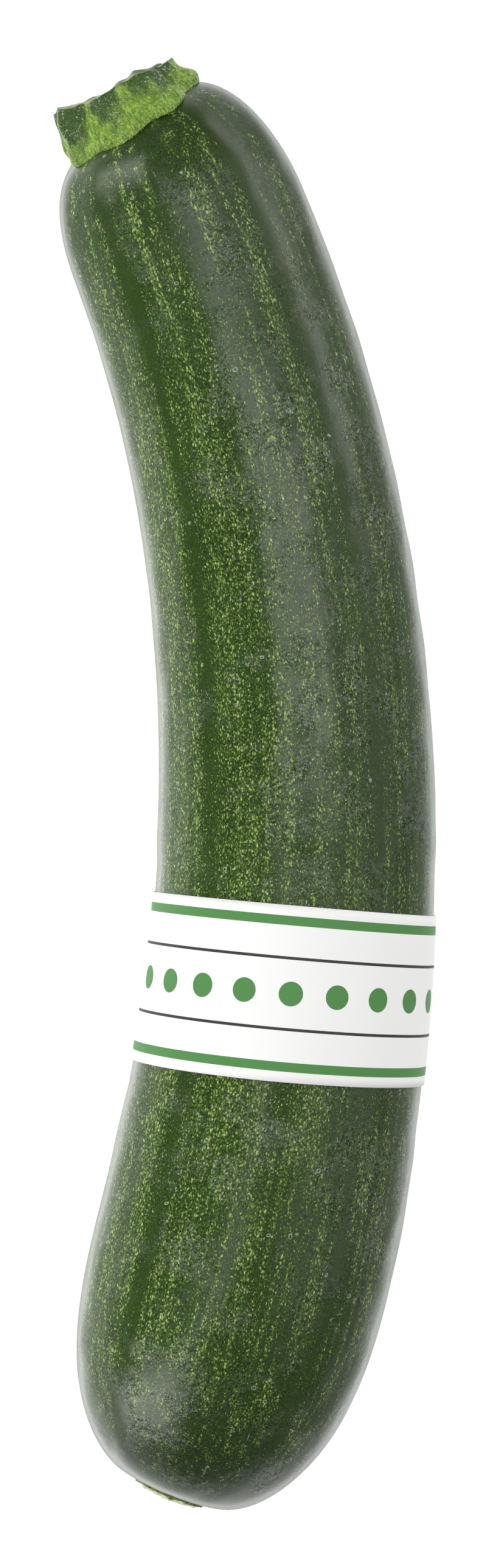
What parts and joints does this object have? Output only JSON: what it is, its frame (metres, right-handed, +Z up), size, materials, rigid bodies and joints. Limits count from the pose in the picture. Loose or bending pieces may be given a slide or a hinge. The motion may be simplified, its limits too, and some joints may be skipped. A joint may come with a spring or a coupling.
{
  "type": "zucchini",
  "caption": "Bent green zucchini lying on its side, with a cut stem stub, a blossom scar and a plain paper band round it.",
  "frame": {"origin": "on the surface that the fruit lies on, under the middle of its bounding box", "axes": "+Y along the fruit towards the stem, +Z up, +X to the outside of its bend"},
  "size_m": [0.0686, 0.2584, 0.0537],
  "materials": {
    "green_skin": "waxy skin, softly glossy, dark green with fine pale flecks",
    "green_stem": "hairy, ribbed, yellow-green plant tissue",
    "corky_scar": "dry, pale, corky",
    "white_paper": "smooth coated white paper"
  },
  "bodies": {
    "root": {"fruit": "green_skin", "stem": "green_stem", "blossom_scar": "corky_scar", "paper_band": "white_paper"}
  },
  "joints": []
}
